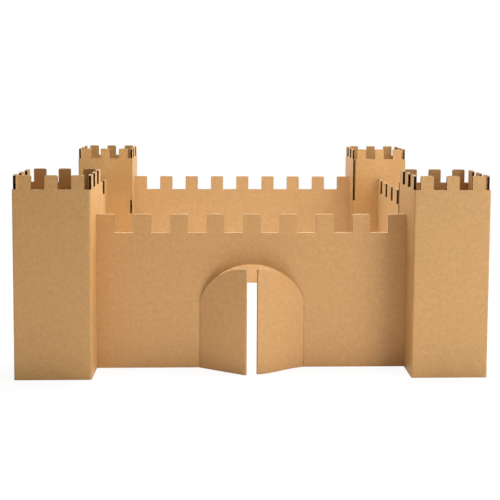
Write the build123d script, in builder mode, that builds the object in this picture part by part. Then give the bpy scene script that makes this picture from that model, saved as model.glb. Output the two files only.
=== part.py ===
from build123d import *
import os
from math import cos, radians, sin

# A play castle of corrugated board: four square towers, each folded from one sheet, and four
# crenellated walls that hook into them. Millimetres, +Z up, the origin on the floor under the middle
# of the courtyard. The gate looks along -Y.

# The board, its folds and its cuts
board = 4.0                    # thickness of the corrugated board
fold_radius = 2.5              # outside of a scored fold, which is sharp inside
merlon_radius = 2.0            # rounding of the top corners of the merlons
fit_clearance = 0.3            # free space round a tab in its notch or slot

# Towers
tower_side = 108.0             # outside width of a panel
tower_height = 287.0           # floor to the top of the merlons
tower_crenel_depth = 20.0
tower_merlon_count = 3         # on each panel
tower_merlon_width = 18.0
tower_corner_notch = 8.5       # from the corner to the first merlon

# The closed corner of a tower
flap_width = 30.0              # closing flap, folded in behind the neighbouring panel
flap_taper = 8.0               # how far the ends of the flap slope
flap_relief = 6.0              # the flap stays this far below the crenels
seam_tab_height = 27.0
seam_tab_lower = 84.5          # lower edges of the two tabs that lock the corner
seam_tab_upper = 155.5

# Walls
wall_length = 450.0            # clear length between two towers
wall_height = 226.0
wall_crenel_depth = 27.0
wall_merlon_count = 9
wall_merlon_width = 25.5

# The hooks that hold a wall in its towers
hook_height = 34.0             # tall side of the tab that goes through the slot
hook_reach = 14.0              # how far the tab goes on behind the panel
hook_drop = 10.0               # how far it hangs down behind the panel
hook_chamfer = 4.0             # cut off both corners of its free end
hook_lower = 45.0              # where the tabs sit on the lower edges of their slots
hook_upper = 135.0

# The gate
gate_width = 154.0             # between the two hinge folds
gate_spring = 97.0             # top of the hinge folds, where the arch starts
gate_height = 152.5            # crown of the arch
leaf_cut = 0.4                 # width of the knife cut that frees the leaves
left_leaf_angle = 29.0         # how far each leaf stands open, in degrees
right_leaf_angle = 26.0

os.makedirs("parts", exist_ok=True)

half_side = tower_side / 2
crenel_floor = tower_height - tower_crenel_depth
tower_crenel_width = (
    tower_side - 2 * tower_corner_notch - tower_merlon_count * tower_merlon_width
) / (tower_merlon_count - 1)

# Where the front panel stops at the closed corner: its flap lies just inside the left panel
flap_outside = -half_side + board + fit_clearance
flat_start = flap_outside + fold_radius
seam_tab_length = flat_start + half_side

# One panel's crenels: a band round the top of the panel, less its merlons
with BuildPart() as crenel_band:
    with BuildSketch(Plane.XZ.offset(half_side)) as band_outline:
        with Locations((0, crenel_floor)):
            Rectangle(tower_side, 2 * tower_crenel_depth, align=(Align.CENTER, Align.MIN))
        with Locations((0, crenel_floor)):
            with GridLocations(tower_merlon_width + tower_crenel_width, 0, tower_merlon_count, 1):
                Rectangle(
                    tower_merlon_width,
                    tower_crenel_depth,
                    align=(Align.CENTER, Align.MIN),
                    mode=Mode.SUBTRACT,
                )
        merlon_tops = band_outline.vertices().group_by(Axis.Y)[1]
        fillet(merlon_tops, merlon_radius)
    extrude(amount=-board - fit_clearance)

# A tower with its closed corner at -X -Y. The left panel ends there in a raw edge, and the front
# panel folds in behind it as the closing flap.
with BuildPart() as tower:
    with BuildSketch() as tower_section:
        Rectangle(tower_side, tower_side)
        Rectangle(tower_side - 2 * board, tower_side - 2 * board, mode=Mode.SUBTRACT)
        with Locations((flap_outside, -half_side)):
            Rectangle(fit_clearance, board, align=(Align.MAX, Align.MIN), mode=Mode.SUBTRACT)
        left_corners = tower_section.vertices().group_by(Axis.X)
        fold_corners = [
            left_corners[0].sort_by(Axis.Y)[-1],
            left_corners[-1].sort_by(Axis.Y)[0],
            left_corners[-1].sort_by(Axis.Y)[-1],
        ]
        flap_corner = tower_section.vertices().sort_by_distance((flap_outside, -half_side))[0]
        fillet(fold_corners + [flap_corner], fold_radius)
    extrude(amount=tower_height)

    # The closing flap, with tapered ends
    flap_top = crenel_floor - flap_relief
    with BuildSketch(Plane.YZ.offset(flap_outside)):
        with BuildLine():
            Polyline(
                (-half_side + board, 0),
                (-half_side + flap_width, flap_taper),
                (-half_side + flap_width, flap_top - flap_taper),
                (-half_side + board, flap_top),
                close=True,
            )
        make_face()
    extrude(amount=board)

    # The crenels of the four panels
    with PolarLocations(0, 4):
        add(crenel_band.part, mode=Mode.SUBTRACT)

    # Notches in the left panel's raw edge and windows in the flap, where the seam tabs were cut out
    notch_height = seam_tab_height + 2 * fit_clearance
    for level in (seam_tab_lower, seam_tab_upper):
        with BuildSketch(Plane.XY.offset(level - fit_clearance)):
            with Locations((-half_side, -half_side)):
                Rectangle(seam_tab_length, board + fit_clearance, align=(Align.MIN, Align.MIN))
            with Locations((flap_outside, -half_side + board)):
                Rectangle(board, seam_tab_length - board, align=(Align.MIN, Align.MIN))
        extrude(amount=notch_height, mode=Mode.SUBTRACT)

    # The seam tabs, which go on in the plane of the front panel through those notches
    for level in (seam_tab_lower, seam_tab_upper):
        with BuildSketch(Plane.XY.offset(level)):
            with Locations((-half_side, -half_side)):
                Rectangle(seam_tab_length, board, align=(Align.MIN, Align.MIN))
        extrude(amount=seam_tab_height)

    # Slots in the middle of the left and front panels for the hooks of two walls
    slot_width = board + 2 * fit_clearance
    slot_height = hook_height + hook_drop + fit_clearance
    for side in (Plane.YZ.offset(-half_side), Plane.XZ.offset(half_side)):
        inward = board if side.z_dir.X > 0 else -board
        with BuildSketch(side):
            with Locations((0, hook_lower), (0, hook_upper)):
                Rectangle(slot_width, slot_height, align=(Align.CENTER, Align.MIN))
        extrude(amount=inward, mode=Mode.SUBTRACT)

# A plain wall in the XZ plane, its outside towards -Y
wall_crenel_count = wall_merlon_count - 1
wall_crenel_width = (wall_length - wall_merlon_count * wall_merlon_width) / wall_crenel_count
half_wall = wall_length / 2
hook_start = half_wall + board + fit_clearance
with BuildPart() as wall:
    with BuildSketch(Plane.XZ) as wall_outline:
        Rectangle(wall_length, wall_height, align=(Align.CENTER, Align.MIN))
        with Locations((0, wall_height)):
            with GridLocations(wall_merlon_width + wall_crenel_width, 0, wall_crenel_count, 1):
                Rectangle(
                    wall_crenel_width,
                    wall_crenel_depth,
                    align=(Align.CENTER, Align.MAX),
                    mode=Mode.SUBTRACT,
                )
        merlon_tops = wall_outline.vertices().group_by(Axis.Y)[-1]
        fillet(merlon_tops.sort_by(Axis.X)[1:-1], merlon_radius)
    with BuildSketch(Plane.XZ) as hook_outline:
        with Locations((half_wall, hook_lower), (half_wall, hook_upper)):
            Rectangle(hook_start + hook_reach - half_wall, hook_height, align=(Align.MIN, Align.MIN))
        with Locations((hook_start, hook_lower), (hook_start, hook_upper)):
            Rectangle(hook_reach, hook_drop, align=(Align.MIN, Align.MAX))
        chamfer(hook_outline.vertices().group_by(Axis.X)[-1], hook_chamfer)
        mirror(about=Plane.YZ)
    extrude(amount=board / 2, both=True)

# The arch of the gate: a flat arc that springs from the hinge folds
half_gate = gate_width / 2
arch_rise = gate_height - gate_spring
arch_radius = (half_gate**2 + arch_rise**2) / (2 * arch_rise)
arch_centre = gate_height - arch_radius
leaf_width = half_gate - leaf_cut / 2
hinge_top = gate_spring - leaf_cut


def gate_leaf(angle):
    """Left leaf, folded out of the wall: half of the arch, turned about its hinge fold by angle."""
    hinge = Vector(-half_gate, -board / 2, 0)
    along = Vector(cos(radians(angle)), -sin(radians(angle)), 0)
    outward = Vector(-sin(radians(angle)), -cos(radians(angle)), 0)
    with BuildPart() as leaf:
        with BuildSketch(Plane(origin=hinge, x_dir=along, z_dir=outward)):
            with Locations((half_gate, arch_centre)):
                Circle(arch_radius - leaf_cut)
            with Locations((leaf_cut, hinge_top)):
                Rectangle(
                    leaf_width - leaf_cut, gate_height, align=(Align.MIN, Align.MIN), mode=Mode.INTERSECT
                )
            Rectangle(leaf_width, hinge_top, align=(Align.MIN, Align.MIN))
        extrude(amount=-board)
        # The hinge fold is sharp at the front and opens as a wedge behind
        with BuildSketch(Plane.YZ.offset(-half_gate)):
            with Locations((-board / 2, 0)):
                Rectangle(board, hinge_top, align=(Align.MIN, Align.MIN))
        revolve(axis=Axis(hinge, (0, 0, 1)), revolution_arc=-angle)
    return leaf.part


left_leaf = gate_leaf(left_leaf_angle)
right_leaf = gate_leaf(right_leaf_angle)

# The front wall: the plain wall with the gate cut out of it and the leaves folded outwards
with BuildPart() as gate_wall:
    add(wall.part)
    with BuildSketch(Plane.XZ):
        with Locations((0, arch_centre)):
            Circle(arch_radius)
        with Locations((0, gate_spring)):
            Rectangle(
                gate_width, gate_height, align=(Align.CENTER, Align.MIN), mode=Mode.INTERSECT
            )
        Rectangle(gate_width, gate_spring, align=(Align.CENTER, Align.MIN))
    extrude(amount=board / 2, both=True, mode=Mode.SUBTRACT)
    add(left_leaf)
    mirror(right_leaf, about=Plane.YZ)

# The eight sheets in their places. Each tower has its closed corner towards the courtyard, and each
# wall runs between the middles of two tower sides.
tower_centre = half_wall + half_side
placed_towers = {
    "tower_back_right": (tower_centre, tower_centre, 0),
    "tower_back_left": (-tower_centre, tower_centre, 90),
    "tower_front_left": (-tower_centre, -tower_centre, 180),
    "tower_front_right": (tower_centre, -tower_centre, 270),
}
for name, (x, y, turn) in placed_towers.items():
    with BuildPart() as placed:
        with Locations(Location((x, y, 0), (0, 0, turn))):
            add(tower.part)
    placed.part.label = name
    export_step(placed.part, f"parts/{name}.step")

placed_walls = {
    "front_wall": (gate_wall, 0, -tower_centre, 0),
    "right_wall": (wall, tower_centre, 0, 90),
    "back_wall": (wall, 0, tower_centre, 180),
    "left_wall": (wall, -tower_centre, 0, 270),
}
for name, (sheet, x, y, turn) in placed_walls.items():
    with BuildPart() as placed:
        with Locations(Location((x, y, 0), (0, 0, turn))):
            add(sheet.part)
    placed.part.label = name
    export_step(placed.part, f"parts/{name}.step")
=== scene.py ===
from math import atan2, cos, hypot, pi, radians, sin, tau

import bpy
import numpy as np
from mathutils import Matrix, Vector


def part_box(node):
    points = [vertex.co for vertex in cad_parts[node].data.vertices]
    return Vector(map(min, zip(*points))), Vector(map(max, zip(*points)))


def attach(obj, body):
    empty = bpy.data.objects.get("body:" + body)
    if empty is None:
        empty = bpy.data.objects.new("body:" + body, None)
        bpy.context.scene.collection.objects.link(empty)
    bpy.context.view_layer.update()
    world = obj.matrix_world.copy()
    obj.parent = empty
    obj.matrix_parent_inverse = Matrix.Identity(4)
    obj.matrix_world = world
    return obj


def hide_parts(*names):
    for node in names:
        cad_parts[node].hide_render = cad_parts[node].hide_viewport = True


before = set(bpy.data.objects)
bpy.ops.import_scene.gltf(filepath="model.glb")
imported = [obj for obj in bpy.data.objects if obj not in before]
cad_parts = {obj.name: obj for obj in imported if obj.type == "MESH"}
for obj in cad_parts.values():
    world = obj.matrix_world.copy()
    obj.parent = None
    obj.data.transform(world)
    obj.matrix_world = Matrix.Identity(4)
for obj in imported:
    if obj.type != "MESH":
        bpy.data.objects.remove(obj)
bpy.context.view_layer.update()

# The four towers
# Each is one sheet of single-wall corrugated board, two kraft liners glued to a wave of fluting
# paper. It is die-cut, scored, folded round four panels and closed by a flap and two finger tabs.
BOARD = 0.004
PAPER = 0.0003                  # thickness of each of the three papers
FLUTE_PITCH = 0.0078            # one wave of the fluting, which runs level round the sheet
FLUTE_STEPS = 6                 # steps to a wave
FLUTE_INSET = 0.0012            # the fluting ends this far inside a level cut
GLUE_GAP = PAPER / 15           # between a crest of the fluting and the liner
CUT_DIP = 0.0005                # how far the knife pressed the papers in along a level cut
CUT_STEPS = 4                   # steps across such a cut
OPEN_SLOPE = 1.5                # a cut steeper than this leaves the ends of the flutes open
CRUSH_INSET = 1.2 * PAPER       # a crushed flute ends this far inside either face
OUTSIDE, INSIDE, CUT, FLUTING = range(4)    # what a surface is, in the order of a sheet's finishes


def middles(values):
    """Halfway between each value and the next."""
    return (values[1:] + values[:-1]) / 2


def board_points(faces_of, u, share, z):
    """Points at u along the sheet, a share of the way from its outer to its inner face, at level z.

    faces_of(u) gives the plan of both faces, and the plan of a point divides the line between
    them. u, share and z are spread over one grid.
    """
    outer, inner = (face.reshape(u.shape + (2,)) for face in faces_of(u.ravel()))
    plan = outer + (inner - outer) * share[..., None]
    grid = np.broadcast_shapes(plan.shape[:-1], z.shape)
    level = np.broadcast_to(z, grid)[..., None]
    return np.concatenate([np.broadcast_to(plan, grid + (2,)), level], axis=-1)


def surface(paper, points, cells, turned=False):
    """One surface of the board, with a quad for each cell of a grid of points that is there.

    The cells lie between the first and the last axis of the grid. A quad runs round its cell from
    the first axis to the last, or the other way where it is turned. The result is what the surface
    is, its points and its quads.
    """
    index = np.arange(points[..., 0].size).reshape(points.shape[:-1])
    corners = [index[:-1, ..., :-1], index[1:, ..., :-1], index[1:, ..., 1:], index[:-1, ..., 1:]]
    if turned:
        corners = corners[:1] + corners[:0:-1]
    quads = np.stack(corners, axis=-1)
    return paper, points.reshape(-1, 3), quads[np.broadcast_to(cells, quads.shape[:-1])]


def cut_profile():
    """Across a cut, the shares of the way from face to face, and a dip of half a sine wave."""
    share = np.linspace(0, 1, CUT_STEPS + 1)
    return share, CUT_DIP * np.sin(pi * share)


def board_surfaces(faces_of, there, height, u, rows, flute_u, phase):
    """The surfaces of a stretch of board: two liners, the level cuts and the fluting.

    u runs along the sheet and a row is a level. A liner's point is the plan of its face at
    height(u, row), and there(u, row) says where the sheet isn't cut away. A level cut is closed by
    a strip from face to face that dips into the board. The fluting is a sheet on the columns
    flute_u, and its share of the way between the faces is a sine of its level.
    """
    level = height(u[:, None], rows, 0.0)
    made = there(middles(u)[:, None], middles(rows))
    share, dip = cut_profile()
    tops = board_points(faces_of, u[:, None, None], share, level[..., None] - dip)
    bottoms = board_points(faces_of, u[:, None, None], share, level[..., None] + dip)
    below, above = np.pad(made, ((0, 0), (1, 0))), np.pad(made, ((0, 0), (0, 1)))
    closed = np.abs(np.diff(level, axis=0)) <= OPEN_SLOPE * np.diff(u)[:, None]

    waves = np.arange(rows[0], rows[-1], FLUTE_PITCH / FLUTE_STEPS)
    wave_level = height(flute_u[:, None], waves, FLUTE_INSET)
    swing = (BOARD - 3 * PAPER) / 2 - GLUE_GAP
    depth = (BOARD - PAPER) / 2 + swing * np.sin(tau * wave_level / FLUTE_PITCH + phase)
    wave = board_points(faces_of, flute_u[:, None], depth / BOARD, wave_level)
    at, up = middles(flute_u)[:, None], middles(waves)
    fluted = there(at, up) & there(at, up + FLUTE_INSET) & there(at, up - FLUTE_INSET)
    return [
        surface(OUTSIDE, tops[:, :, 0], made),
        surface(INSIDE, tops[:, :, -1], made, turned=True),
        surface(CUT, tops, (below & ~above & closed)[..., None]),
        surface(CUT, bottoms, (above & ~below & closed)[..., None], turned=True),
        surface(FLUTING, wave, fluted),
    ]


def crushed_flutes(faces_of, places, bottom, top):
    """Flutes crushed shut across the sheet: at each place one upright web from liner to liner."""
    share = np.array([CRUSH_INSET, BOARD - CRUSH_INSET])[:, None, None] / BOARD
    webs = board_points(faces_of, places[None, :, None], share, np.array([bottom, top]))
    return surface(FLUTING, webs, True)


MERGE_DIGITS = 7                # points are the same to a tenth of a micrometre
SHARP_ANGLE = radians(35)       # a bend of more than this shows as an edge


def make_sheet(node, surfaces, finishes, turn, centre):
    """Joins the surfaces of one sheet, turns it into place and gives its papers their thickness.

    Surfaces share the points where they meet, so equal points are merged, and a triangle that has
    shrunk to nothing goes. The thickness grows inwards from each surface, and its inner side has
    the last of the finishes: the dark fluting colour, which on the liners' inner faces inside the
    board is painted shade.
    """
    name = node + "_board"
    points, faces, papers, count = [], [], [], 0
    for paper, grid, quads in surfaces:
        points.append(grid)
        faces.append(quads + count)
        papers.append(np.full(len(quads), paper, np.int32))
        count += len(grid)
    points, back = np.unique(np.round(np.concatenate(points), MERGE_DIGITS), axis=0, return_inverse=True)
    faces = back.reshape(-1)[np.concatenate(faces)][:, [[0, 1, 2], [0, 2, 3]]].reshape(-1, 3)
    whole = (faces != np.roll(faces, 1, axis=1)).all(axis=1)
    used, faces = np.unique(faces[whole], return_inverse=True)
    points = points[used]
    way = np.array([[cos(turn), sin(turn)], [-sin(turn), cos(turn)]])
    points[:, :2] = points[:, :2] @ way + centre

    mesh = bpy.data.meshes.new(name)
    mesh.from_pydata(points.tolist(), [], faces.reshape(-1, 3).tolist())
    mesh.polygons.foreach_set("material_index", np.repeat(np.concatenate(papers), 2)[whole])
    for material in finishes:
        mesh.materials.append(material)
    sheet = bpy.data.objects.new(name, mesh)
    bpy.context.scene.collection.objects.link(sheet)
    thickness = sheet.modifiers.new("paper", "SOLIDIFY")
    thickness.thickness = PAPER
    thickness.offset = -1
    # the inner sides take the last finish, the dark fluting colour: painted shade inside the board
    thickness.material_offset = len(finishes) - 1
    solid = bpy.data.meshes.new_from_object(sheet.evaluated_get(bpy.context.evaluated_depsgraph_get()))
    sheet.modifiers.clear()
    sheet.data = solid
    bpy.data.meshes.remove(mesh)
    solid.name = name
    solid.polygons.foreach_set("use_smooth", np.ones(len(solid.polygons), bool))
    solid.set_sharp_from_angle(angle=SHARP_ANGLE)
    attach(sheet, "root")
    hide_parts(node)


class Level:
    """A number that varies over a surface: a socket with the arithmetic of numbers."""

    def __init__(self, finish, socket):
        self.finish = finish
        self.socket = socket

    def through(self, kind, settings, *others):
        """The result of a node that takes this number and the others in turn."""
        made = self.finish.node(kind, settings, dict(enumerate((self,) + others)))
        return Level(self.finish, made.outputs[0])

    def math(self, operation, *others):
        """The result of a Math node for this number and the others."""
        return self.through("ShaderNodeMath", {"operation": operation}, *others)

    def carried(self, low, high, new_low, new_high):
        """This number with the range from low to high carried over to the new one, and held there."""
        return self.through("ShaderNodeMapRange", {"clamp": True}, low, high, new_low, new_high)

    def __add__(self, other):
        return self.math("ADD", other)

    def __sub__(self, other):
        return self.math("SUBTRACT", other)

    def __rsub__(self, other):
        return self.math("MULTIPLY_ADD", -1, other)

    def __mul__(self, other):
        return self.math("MULTIPLY", other)

    __radd__ = __add__
    __rmul__ = __mul__


class Finish:
    """The nodes of one material, or of the room's background."""

    def __init__(self, owner):
        owner.use_nodes = True
        self.tree = owner.node_tree
        self.tree.nodes.clear()

    def node(self, kind, settings, inputs):
        """Adds any node: sets its settings first, and then each input, by its place or its name."""
        made = self.tree.nodes.new(kind)
        for key, value in settings.items():
            setattr(made, key, value)
        for key, value in inputs.items():
            if isinstance(value, Level):
                value = value.socket
            if isinstance(value, bpy.types.NodeSocket):
                self.tree.links.new(value, made.inputs[key])
            else:
                made.inputs[key].default_value = value
        return made


FIBRE_SCALE = 620.0             # waves of each noise to a metre
CLOUD_SCALE = 150.0
FLECK_SCALE = 520.0
FIBRE_RANGE = (0.3, 0.7)        # where most of the fibres' noise lies
CLOUD_CONTRAST = 0.22           # how far the clouds change the colour
FLECK_RANGE = (0.74, 0.80)      # noise at which a fleck starts to show, and at which it is darkest
FLECK_DARKNESS = 0.35
FIBRE_RELIEF = 0.7              # shares of the bump
CLOUD_RELIEF = 0.3
BUMP_STRENGTH = 0.25
BUMP_HEIGHT = 0.0003
ROUGHNESS_SPREAD = 0.05         # how far the fibres change the roughness, up and down
PAPER_GLOSS = 0.35              # specular level
MIX_A, MIX_B, MIX_RESULT = 6, 7, 2      # places of the colour sockets of a Mix node


def kraft(name, colour, roughness, grain, washboard):
    """Uncoated kraft paper: a fine grain of fibres, faint clouds, and a few dark flecks.

    The grain and the clouds make the colour lighter and darker by a few percent. washboard is how
    far the paper follows the fluting under it, as a share of the bump.
    """
    material = bpy.data.materials.new(name)
    finish = Finish(material)
    where = finish.node("ShaderNodeTexCoord", {}, {}).outputs["Object"]

    def noise(scale, detail, rough):
        made = finish.node("ShaderNodeTexNoise", {"noise_dimensions": "3D"},
                           {"Vector": where, "Scale": scale, "Detail": detail, "Roughness": rough})
        return Level(finish, made.outputs["Fac"])

    clouds = noise(CLOUD_SCALE, detail=2.0, rough=0.5)
    fibres = noise(FIBRE_SCALE, detail=4.0, rough=0.75)
    flecks = noise(FLECK_SCALE, detail=1.0, rough=0.5).carried(*FLECK_RANGE, 0.0, FLECK_DARKNESS)
    bright = 1 + (fibres - 0.5) * grain + (clouds - 0.5) * CLOUD_CONTRAST - flecks
    base = finish.node("ShaderNodeMix", {"data_type": "RGBA", "blend_type": "MULTIPLY"},
                       {"Factor": 1.0, MIX_A: colour, MIX_B: bright})
    height = fibres * FIBRE_RELIEF + clouds * CLOUD_RELIEF
    if washboard:
        level = Level(finish, finish.node("ShaderNodeSeparateXYZ", {}, {0: where}).outputs["Z"])
        height = height + (level * (tau / FLUTE_PITCH)).math("SINE") * washboard
    bump = finish.node("ShaderNodeBump", {}, {"Strength": BUMP_STRENGTH, "Distance": BUMP_HEIGHT,
                                              "Height": height})
    rough = fibres.carried(*FIBRE_RANGE, roughness - ROUGHNESS_SPREAD, roughness + ROUGHNESS_SPREAD)
    shader = finish.node("ShaderNodeBsdfPrincipled", {}, {
        "Base Color": base.outputs[MIX_RESULT], "Normal": bump.outputs[0], "Roughness": rough,
        "Specular IOR Level": PAPER_GLOSS,
    })
    finish.node("ShaderNodeOutputMaterial", {}, {"Surface": shader.outputs[0]})
    return material


def paint(red, green, blue):
    """A colour as it is seen, 0 to 255, in the linear values that a shader takes."""
    seen = np.array([red, green, blue]) / 255
    linear = np.where(seen <= 0.04045, seen / 12.92, ((seen + 0.055) / 1.055) ** 2.4)
    return [float(value) for value in linear] + [1.0]


# Along a cut the papers are pressed and their fibres torn, which makes them rougher than the liners.
# The cuts of the towers and of three walls are painted darker than those of the front wall: painted shade of
# the hollow between the liners along a cut.
LINER = {"roughness": 0.5, "grain": 0.75, "washboard": 0.12}
TORN = {"roughness": 0.8, "grain": 0.6, "washboard": 0.0}
tower_liner = kraft("tower_liner", paint(187, 143, 88), **LINER)
# painted shade: this cut finish is darkened to stand for the shaded hollow between the liners
shaded_cut = kraft("shaded_cut", paint(134, 109, 79), **TORN)
# The fluting is a darker paper, darkened further as painted shade; the same colour on the liners' inner
# faces inside the board is painted shade too.
fluting_and_shade = kraft("fluting_and_shade", paint(98, 68, 40), roughness=0.9, grain=0.6, washboard=0.0)

# The sizes of a tower's sheet and of what is cut in it
CLEARANCE = 0.0003              # free space round a tab in its notch or slot
FOLD_RADIUS = 0.0025            # outside of a fold, which is sharp inside
FOLD_STEPS = 6
MERLON_RADIUS = 0.002           # rounding of the top corners of the merlons
ROUND_STEPS = 4
TOWER_MERLONS = 3               # on each panel
TOWER_MERLON = 0.018
TOWER_CRENEL_DEPTH = 0.020
TOWER_CORNER_NOTCH = 0.0085     # from a corner to the first merlon
FLAP_WIDTH = 0.030              # closing flap, folded in behind the neighbouring panel
FLAP_TAPER = 0.008              # how far the ends of the flap slope
FLAP_RELIEF = 0.006             # the flap stays this far below the crenels
SEAM_TAB_HEIGHT = 0.027
SEAM_TABS = (0.0845, 0.1555)    # lower edges of the finger tabs
HOOK_HEIGHT = 0.034
HOOK_DROP = 0.010               # how far a hook hangs down behind the panel
HOOKS = (0.045, 0.135)          # where the walls' hooks sit on the lower edges of their slots
TOWER_WAVE_SHIFT = 1.3          # the wave of the fluting starts elsewhere on each sheet

tower_low, tower_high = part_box("tower_back_right")
tower_side = tower_high.x - tower_low.x
half_side = tower_side / 2
tower_top = tower_high.z
crenel_floor = tower_top - TOWER_CRENEL_DEPTH
tower_pitch = (tower_side - 2 * TOWER_CORNER_NOTCH - TOWER_MERLON) / (TOWER_MERLONS - 1)
slot_half = BOARD / 2 + CLEARANCE
slot_height = HOOK_HEIGHT + HOOK_DROP + CLEARANCE

# The outer line of a tower's plan: the flap's free edge, the closed corner, three more corners and
# the raw edge. Along the sheet, u is 0 where the front panel would meet the left one.
flap_outside = BOARD + CLEARANCE
flap_top = crenel_floor - FLAP_RELIEF
tower_corners = np.array([
    (flap_outside - half_side, FLAP_WIDTH - half_side),
    (flap_outside - half_side, -half_side),
    (half_side, -half_side),
    (half_side, half_side),
    (-half_side, half_side),
    (-half_side, -half_side),
])
tower_start = flap_outside - FLAP_WIDTH
flap_root = flap_outside - BOARD        # where the flap comes clear of the front panel
window_end = -FOLD_RADIUS               # each finger tab leaves a window from here to its root
tab_root = flap_outside + BOARD
tower_end = 4 * tower_side
notch_start = tower_end - flap_outside  # and goes through a notch in the raw edge


def folded(u, corners, start):
    """Outer and inner face of board folded to the left at each corner of its outer line.

    Along a side both faces run straight, a board apart. Within the fold radius of a corner the
    outer face follows a quarter circle, and the inner face stays at its sharp inside corner.
    """
    steps = np.diff(corners, axis=0)
    lengths = np.linalg.norm(steps, axis=1)
    ways = steps / lengths[:, None]
    lefts = np.stack([-ways[:, 1], ways[:, 0]], axis=1)
    begins = start + np.concatenate([[0], np.cumsum(lengths)])
    side = np.clip(np.searchsorted(begins, u, side="right") - 1, 0, len(ways) - 1)
    along = u - begins[side]
    outer = corners[side] + ways[side] * along[:, None]
    low = np.where(side > 0, BOARD, 0)
    high = lengths[side] - np.where(side < len(ways) - 1, BOARD, 0)
    inner = corners[side] + ways[side] * np.clip(along, low, high)[:, None] + lefts[side] * BOARD
    bend = 1 + np.argmin(np.abs(u[:, None] - begins[1:-1]), axis=1)
    turn = (u - begins[bend] + FOLD_RADIUS) / (2 * FOLD_RADIUS) * pi / 2
    centre = corners[bend] + (ways[bend] - ways[bend - 1]) * FOLD_RADIUS
    arc = centre - FOLD_RADIUS * (
        np.cos(turn)[:, None] * lefts[bend - 1] + np.sin(turn)[:, None] * lefts[bend]
    )
    in_fold = np.abs(u - begins[bend]) < FOLD_RADIUS
    return np.where(in_fold[:, None], arc, outer), inner


def tower_faces(u):
    """The tower's outer line, folded."""
    return folded(u, tower_corners, tower_start)


def tower_there(u, z):
    """Everything but the crenels, the slots, the flap's windows and the raw edge's notches."""
    across = u - half_side - tower_side * np.clip(np.floor(u / tower_side), 0, 3)
    beside = np.abs(across) % tower_pitch
    beside = np.minimum(beside, tower_pitch - beside)
    merlon = (beside < TOWER_MERLON / 2) & (np.abs(across) < half_side - TOWER_CORNER_NOTCH)
    made = (z > 0) & (z < np.where(merlon, tower_top, crenel_floor))
    made &= (u >= flap_root) | (z < flap_top)
    for level in HOOKS:
        slot = (np.abs(across) < slot_half) & (z > level) & (z < level + slot_height)
        made &= ~(slot & ((u < tower_side) | (u > 3 * tower_side)))
    for level in SEAM_TABS:
        cut = (z > level - CLEARANCE) & (z < level + SEAM_TAB_HEIGHT + CLEARANCE)
        made &= ~(cut & ((u > window_end) & (u < tab_root) | (u > notch_start)))
    return made


def round_off(distance, radius):
    """How far a corner rounded to a radius stands back, that far along from its side."""
    near = radius - np.clip(distance, 0, radius)
    return radius - np.sqrt(radius**2 - near**2)


def tower_height(u, z, inset):
    """The level of a row, lowered to the rounded merlons and kept within the flap's tapered ends."""
    side = np.abs(u[..., None] - tower_merlon_sides).min(axis=-1)
    made = np.minimum(z, tower_top - inset - round_off(side, MERLON_RADIUS))
    taper = FLAP_TAPER * (flap_root - u) / (FLAP_WIDTH - BOARD) + inset
    return np.where(u < flap_root, np.clip(made, taper, flap_top - taper), made)


def columns(*groups):
    """All the named places along a sheet in order, each once, to a micrometre."""
    return np.unique(np.round(np.concatenate([np.ravel(group) for group in groups]), 6))


def rounding_columns(sides):
    """Places on both sides of each merlon's side that divide its rounding evenly by angle."""
    back = MERLON_RADIUS * (1 - np.cos(np.linspace(0, pi / 2, ROUND_STEPS + 1)))
    return np.add.outer(sides, np.concatenate([-back, back]))


panel_middles = half_side + tower_side * np.arange(4)
merlon_places = tower_pitch * (np.arange(TOWER_MERLONS) - (TOWER_MERLONS - 1) / 2)
tower_merlon_middles = np.add.outer(panel_middles, merlon_places).ravel()
tower_merlon_sides = np.add.outer(tower_merlon_middles, [-TOWER_MERLON / 2, TOWER_MERLON / 2]).ravel()
tower_bends = np.concatenate([[flap_outside], tower_side * np.arange(1, 4)])
tower_flute_u = columns(
    [tower_start, window_end, tab_root, notch_start, tower_end],
    np.add.outer(tower_bends, [-BOARD, BOARD]),
    np.add.outer(tower_bends, np.linspace(-FOLD_RADIUS, FOLD_RADIUS, FOLD_STEPS + 1)),
    tower_merlon_sides,
    np.add.outer(panel_middles[[0, 3]], [-slot_half, slot_half]),
)
tower_u = columns(tower_flute_u, rounding_columns(tower_merlon_sides))
tower_rows = columns(
    [0, flap_top, crenel_floor, tower_top],
    np.add.outer(HOOKS, [0, slot_height]),
    np.add.outer(SEAM_TABS, [-CLEARANCE, 0, SEAM_TAB_HEIGHT, SEAM_TAB_HEIGHT + CLEARANCE]),
)


def tab_faces(u):
    """The finger tabs go straight on in the plane of the front panel, both faces a board apart."""
    outer = np.stack([u - half_side, np.full_like(u, -half_side)], axis=1)
    return outer, outer + [0, BOARD]


def tab_there(u, z):
    """From the lower edge to the upper edge of each finger tab."""
    levels = [(z > level) & (z < level + SEAM_TAB_HEIGHT) for level in SEAM_TABS]
    return np.broadcast_to(np.any(levels, axis=0), np.broadcast(u, z).shape)


def as_cut(u, z, inset):
    """The level of a row as it is."""
    return np.broadcast_to(z, np.broadcast(u, z).shape)


tab_u = np.array([0, tab_root])
tab_rows = columns(np.add.outer(SEAM_TABS, [0, SEAM_TAB_HEIGHT]))
towers = ["tower_back_right", "tower_back_left", "tower_front_left", "tower_front_right"]
for quarter, node in enumerate(towers):
    low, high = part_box(node)
    phase = TOWER_WAVE_SHIFT * quarter
    panels = board_surfaces(tower_faces, tower_there, tower_height, tower_u, tower_rows,
                            tower_flute_u, phase)
    tabs = board_surfaces(tab_faces, tab_there, as_cut, tab_u, tab_rows, tab_u, phase)
    webs = crushed_flutes(tower_faces, tower_merlon_middles, crenel_floor - FLUTE_INSET,
                          tower_top - FLUTE_INSET)
    make_sheet(node, panels + tabs + [webs], [tower_liner, tower_liner, shaded_cut, fluting_and_shade],
               quarter * pi / 2, ((low.x + high.x) / 2, (low.y + high.y) / 2))
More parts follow.
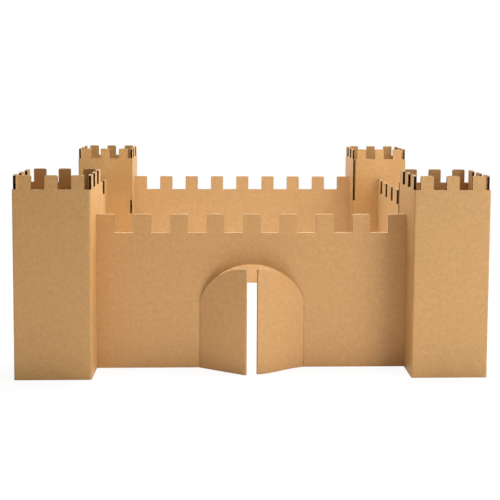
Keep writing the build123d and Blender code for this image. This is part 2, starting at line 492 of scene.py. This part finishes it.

# The back wall and the two side walls
# Each is one flat sheet of the same board, cut with nine merlons. Two hooks at each end go through
# slots in the towers and drop behind the panel. The outer liner is painted a shade lighter than the towers',
# as painted light, and the courtyard side paler and greyer still, as a painted highlight.
WALL_MERLONS = 9
WALL_MERLON = 0.0255
WALL_CRENEL_DEPTH = 0.027
HOOK_CHAMFER = 0.004            # cut off both corners of a hook's free end
WALL_WAVE_SHIFT = 2.1
# painted light: the walls' liner is a shade lighter than the towers', and the courtyard side is paler and
# greyer as a painted highlight
wall_liner_lit = kraft("wall_liner_lit", paint(194, 147, 92), **LINER)
wall_inside_lit = kraft("wall_inside_lit", paint(191, 151, 101), **LINER)

wall_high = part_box("back_wall")[1]
tower_centre = (tower_low.x + tower_high.x) / 2
half_wall = tower_low.x
wall_top = wall_high.z
wall_floor = wall_top - WALL_CRENEL_DEPTH
hook_start = half_wall + BOARD + CLEARANCE
hook_end = wall_high.x
wall_pitch = (2 * half_wall - WALL_MERLON) / (WALL_MERLONS - 1)
wall_merlon_starts = wall_pitch * np.arange(WALL_MERLONS) - half_wall
wall_merlon_sides = np.add.outer(wall_merlon_starts, [0, WALL_MERLON]).ravel()
rounded_sides = wall_merlon_sides[1:-1]


def wall_faces(u):
    """A flat sheet in the XZ plane, both faces a board apart and its outside towards -Y."""
    outer = np.stack([u, np.full_like(u, -BOARD / 2)], axis=1)
    return outer, outer + [0, BOARD]


def wall_there(u, z):
    """The crenellated wall between the towers, and its hooks beyond."""
    merlon = (u + half_wall) % wall_pitch < WALL_MERLON
    made = (np.abs(u) < half_wall) & (z > 0) & (z < np.where(merlon, wall_top, wall_floor))
    for level in HOOKS:
        lowest = np.where(np.abs(u) < hook_start, level, level - HOOK_DROP)
        made |= (np.abs(u) > half_wall) & (z > lowest) & (z < level + HOOK_HEIGHT)
    return made


def wall_height(u, z, inset):
    """The level of a row, lowered to the rounded merlons and brought in at the hooks' corners."""
    side = np.abs(u[..., None] - rounded_sides).min(axis=-1)
    made = np.minimum(z, wall_top - inset - round_off(side, MERLON_RADIUS))
    cut = np.clip(np.abs(u) - hook_end + HOOK_CHAMFER, 0, HOOK_CHAMFER) + inset
    for level in HOOKS:
        low, high = level - HOOK_DROP, level + HOOK_HEIGHT
        hook = (np.abs(u) > half_wall) & (z > low - HOOK_DROP) & (z < high + HOOK_DROP)
        made = np.where(hook, np.clip(z, low + cut, high - cut), made)
    return made


hook_columns = np.array([half_wall, hook_start, hook_end - HOOK_CHAMFER, hook_end])
wall_flute_u = columns(-hook_columns, hook_columns, wall_merlon_sides)
wall_u = columns(wall_flute_u, rounding_columns(rounded_sides))
wall_rows = columns([0, wall_floor, wall_top], np.add.outer(HOOKS, [-HOOK_DROP, 0, HOOK_HEIGHT]))
for number, (node, quarter, centre) in enumerate([
    ("right_wall", 1, (tower_centre, 0)),
    ("back_wall", 2, (0, tower_centre)),
    ("left_wall", 3, (-tower_centre, 0)),
]):
    panel = board_surfaces(wall_faces, wall_there, wall_height, wall_u, wall_rows, wall_flute_u,
                           WALL_WAVE_SHIFT * number)
    make_sheet(node, panel, [wall_liner_lit, wall_inside_lit, shaded_cut, fluting_and_shade], quarter * pi / 2,
               centre)

# The front wall and its gate
# The same sheet again, with an arch cut in its middle. The two leaves are cut from the wall and
# folded outwards on their scored hinges, which stay sharp in front and open as a wedge behind.
GATE_WIDTH = 0.154              # between the two hinge folds
GATE_SPRING = 0.097             # top of the hinge folds, where the arch starts
GATE_HEIGHT = 0.1525            # crown of the arch
ARCH_STEPS = 48
ARCH_FLUTE_STRIDE = 4           # the fluting takes one in so many of the arch's columns
LEAF_CUT = 0.0001               # width of the knife cut that frees the leaves
LEFT_LEAF_ANGLE = radians(29)
RIGHT_LEAF_ANGLE = radians(26)
RIGHT_LEAF_SWAY = 0.0018        # the right leaf is a little warped, in an S from hinge to free edge
WEDGE_STEPS = 4
SCORE_WIDTH = 0.0024            # line pressed into the leaf beside its hinge fold
SCORE_DEPTH = 0.0008
SCORE_STEPS = 4
FRONT_WAVE = 0.7                # where the wave of the fluting starts on the front wall
SAME_PLACE = 1e-7               # values nearer than this are the same
clean_cut = kraft("clean_cut", paint(176, 143, 104), **TORN)

half_gate = GATE_WIDTH / 2
arch_rise = GATE_HEIGHT - GATE_SPRING
arch_radius = (half_gate**2 + arch_rise**2) / (2 * arch_rise)
arch_centre = GATE_HEIGHT - arch_radius
hinge_top = GATE_SPRING - LEAF_CUT
leaf_width = half_gate - LEAF_CUT / 2


def arch(u, radius):
    """The level of the arch at a distance u from its middle, on a circle of that radius."""
    return arch_centre + np.sqrt(np.maximum(radius**2 - u**2, 0))


def front_there(u, z):
    """The plain wall without the gate's opening below its spring line."""
    return wall_there(u, z) & ((np.abs(u) >= half_gate) | (z >= GATE_SPRING))


def front_height(u, z, inset):
    """The level of a row as on the plain wall, and over the gate raised to the arch."""
    over = (np.abs(u) <= half_gate + SAME_PLACE) & (z > GATE_SPRING - SAME_PLACE) & (z < wall_floor)
    return np.where(over, np.maximum(z, arch(u, arch_radius + inset)), wall_height(u, z, inset))


def leaf_faces(angle, sway, side):
    """A leaf turned about its hinge. side is -1 for the left leaf and 1 for the right one.

    Both faces lie a board apart on the turned line, moved back from it by one whole sine wave from
    hinge to free edge. The score is a half wave in the outer face beside the hinge. Where u is
    negative, the outer face stays at the hinge, and the inner one swings round it as a wedge.
    """

    def faces(u):
        width = np.maximum(u, 0)
        turned = angle * np.clip(1 + u / BOARD, 0, 1)
        warp = sway * np.sin(tau * width / leaf_width)
        score = SCORE_DEPTH * np.sin(pi * np.clip(u / SCORE_WIDTH, 0, 1))
        line = np.stack([-half_gate + width * cos(angle), -BOARD / 2 - width * sin(angle)], axis=1)
        inner = line + BOARD * np.stack([np.sin(turned), np.cos(turned)], axis=1)
        plan = (line + (warp + score)[:, None] * [0, 1], inner + warp[:, None] * [0, 1])
        return plan if side < 0 else tuple(face * [-1, 1] for face in plan)

    return faces


def leaf_there(u, z):
    """Up to the hinge's top within a knife's width of the hinge, and up to the arch elsewhere."""
    return (z > 0) & (z < np.where(u < LEAF_CUT, hinge_top, GATE_HEIGHT))


def leaf_height(u, z, inset):
    """The level of a row, lowered to the leaf's own arch where it is above the hinge's top."""
    top = arch(half_gate - u, arch_radius - LEAF_CUT) - inset
    return np.where(z > hinge_top + SAME_PLACE, np.maximum(np.minimum(z, top), hinge_top), z)


def pressed_end(faces_of, height, u, rows):
    """The leaf's free edge, where the blade pressed the papers together.

    A strip from face to face on the grid of level and share. It stands back along the sheet as
    half a sine wave, and is that much shorter at the top and at the bottom.
    """
    share, dip = cut_profile()
    level = height(u, rows, 0.0)
    level = np.clip(level[:, None], level[0] + dip, level[-1] - dip)
    return surface(CUT, board_points(faces_of, u - dip, share, level), True, turned=True)


arch_places = np.linspace(-half_gate, half_gate, ARCH_STEPS + 1)
front_u = columns(wall_u, arch_places)
front_flute_u = columns(wall_flute_u, arch_places[::ARCH_FLUTE_STRIDE])
front_rows = columns(wall_rows, [hinge_top, GATE_SPRING])
on_left_leaf = (arch_places > SCORE_WIDTH - half_gate) & (arch_places < -LEAF_CUT)
leaf_u = columns(
    np.linspace(-BOARD, 0, WEDGE_STEPS + 1),
    np.linspace(0, SCORE_WIDTH, SCORE_STEPS + 1),
    [LEAF_CUT, leaf_width],
    arch_places[on_left_leaf] + half_gate,
)
leaf_flute_u = columns(leaf_u[:-1:2], [leaf_width - FLUTE_INSET])
leaf_rows = columns(front_rows[front_rows < GATE_SPRING - LEAF_CUT / 2], [GATE_HEIGHT - LEAF_CUT])
front = board_surfaces(wall_faces, front_there, front_height, front_u, front_rows, front_flute_u, FRONT_WAVE)
for side, angle, sway in ((-1, LEFT_LEAF_ANGLE, 0.0), (1, RIGHT_LEAF_ANGLE, RIGHT_LEAF_SWAY)):
    plan = leaf_faces(angle, sway, side)
    leaf = board_surfaces(plan, leaf_there, leaf_height, leaf_u, leaf_rows, leaf_flute_u, FRONT_WAVE)
    leaf.append(pressed_end(plan, leaf_height, leaf_width, leaf_rows))
    if side > 0:                # its plan was mirrored, so each quad runs the other way round
        leaf = [(paper, points, quads[:, ::-1]) for paper, points, quads in leaf]
    front += leaf
make_sheet("front_wall", front, [wall_liner_lit, wall_inside_lit, clean_cut, fluting_and_shade], 0,
           (0, -tower_centre))

# The floor under the castle
# A plain pale table, flat, which with the room behind it shows as one white backdrop, and keeps the castle's
# shadow.
FLOOR_REACH = 6.0
FLOOR_GREY = (0.9, 0.9, 0.9, 1.0)
WHITE = (1.0, 1.0, 1.0, 1.0)
SHADOW_SHARE = 0.1              # how much of the lit floor, with its shadow, shows near the castle
SHADOW_FADE = (0.5, 1.1)        # distances from the middle between which it fades out


def sees_backdrop(finish):
    """1 where the backdrop shows white: to the camera, in a reflection and through glass."""
    path = finish.node("ShaderNodeLightPath", {}, {})
    camera, glossy, transmission = (
        Level(finish, path.outputs[f"Is {kind} Ray"]) for kind in ("Camera", "Glossy", "Transmission")
    )
    return camera.math("MAXIMUM", glossy).math("MAXIMUM", transmission)


floor_mesh = bpy.data.meshes.new("floor")
floor_corners = [(x * FLOOR_REACH, y * FLOOR_REACH, 0) for x, y in ((-1, -1), (1, -1), (1, 1), (-1, 1))]
floor_mesh.from_pydata(floor_corners, [], [(0, 1, 2, 3)])
floor = bpy.data.objects.new("floor", floor_mesh)
bpy.context.scene.collection.objects.link(floor)
white_floor = bpy.data.materials.new("white_floor")
floor_mesh.materials.append(white_floor)
finish = Finish(white_floor)
lit = finish.node("ShaderNodeBsdfDiffuse", {}, {"Color": FLOOR_GREY})
white = finish.node("ShaderNodeEmission", {}, {"Color": WHITE, "Strength": 1.0})
where = finish.node("ShaderNodeTexCoord", {}, {}).outputs["Object"]
length = finish.node("ShaderNodeVectorMath", {"operation": "LENGTH"}, {0: where})
away = Level(finish, length.outputs["Value"])
shown = sees_backdrop(finish) * away.carried(*SHADOW_FADE, 1 - SHADOW_SHARE, 1.0)
blend = finish.node("ShaderNodeMixShader", {}, {0: shown, 1: lit.outputs[0], 2: white.outputs[0]})
finish.node("ShaderNodeOutputMaterial", {}, {"Surface": blend.outputs[0]})

# The light
# Soft white studio light: two panels overhead, a key light close by on the right, a low panel in
# front and two panels behind. The room is dark but for what the camera and reflections see of it.
ROOM_LIGHT = 0.03
LAMP_AIM = (0.0, 0.0, 0.12)     # the middle of the castle
world = bpy.data.worlds.new("room")
bpy.context.scene.world = world
room = Finish(world)
dark = room.node("ShaderNodeBackground", {}, {"Color": WHITE, "Strength": ROOM_LIGHT})
backdrop = room.node("ShaderNodeBackground", {}, {"Color": WHITE, "Strength": 1.0})
choice = room.node("ShaderNodeMixShader", {}, {0: sees_backdrop(room), 1: dark.outputs[0],
                                               2: backdrop.outputs[0]})
room.node("ShaderNodeOutputWorld", {}, {"Surface": choice.outputs[0]})

# Each lamp's name, its place, the length of its sides and its power in watts
for name, place, side, power in (
    ("overhead", (0.0, 0.0, 2.2), 1.0, 55.5),
    ("overhead_back", (0.1, 0.3, 1.4), 0.8, 19.0),
    ("low_front_right", (1.2, -1.5, 0.35), 0.8, 12.0),
    ("key", (0.95, -0.45, 1.25), 0.9, 10.5),
    ("back_right", (1.9, 1.6, 1.2), 1.6, 22.0),
    ("back_left", (-1.9, 1.6, 1.2), 1.6, 16.0),
):
    lamp = bpy.data.lights.new(name, "AREA")
    lamp.shape = "SQUARE"
    lamp.size = side
    lamp.energy = power
    holder = bpy.data.objects.new(name, lamp)
    bpy.context.scene.collection.objects.link(holder)
    x, y, z = np.array(LAMP_AIM) - place
    holder.matrix_world = (Matrix.Translation(place) @ Matrix.Rotation(atan2(-x, y), 4, "Z")
                           @ Matrix.Rotation(pi / 2 + atan2(z, hypot(x, y)), 4, "X"))

# The camera
# Where the photograph was taken: a little left of the gate, some 1.2 m in front of it.
CAMERA_PLACE = (-0.0469, -1.5165, 0.4026)
CAMERA_TURN = radians(-2.002)   # to the right of straight ahead
CAMERA_TILT = radians(-3.856)   # down from level
CAMERA_ROLL = radians(0.313)    # against the clock, seen from behind the camera
camera_data = bpy.data.cameras.new("camera")
camera_data.lens = 61.85
camera_data.sensor_width = 36.0
camera_data.shift_y = -0.2
camera = bpy.data.objects.new("camera", camera_data)
bpy.context.scene.collection.objects.link(camera)
camera.matrix_world = (
    Matrix.Translation(CAMERA_PLACE)
    @ Matrix.Rotation(CAMERA_TURN, 4, "Z")
    @ Matrix.Rotation(pi / 2 + CAMERA_TILT, 4, "X")
    @ Matrix.Rotation(CAMERA_ROLL, 4, "Z")
)
bpy.context.scene.camera = camera
bpy.context.scene.view_settings.view_transform = "Standard"
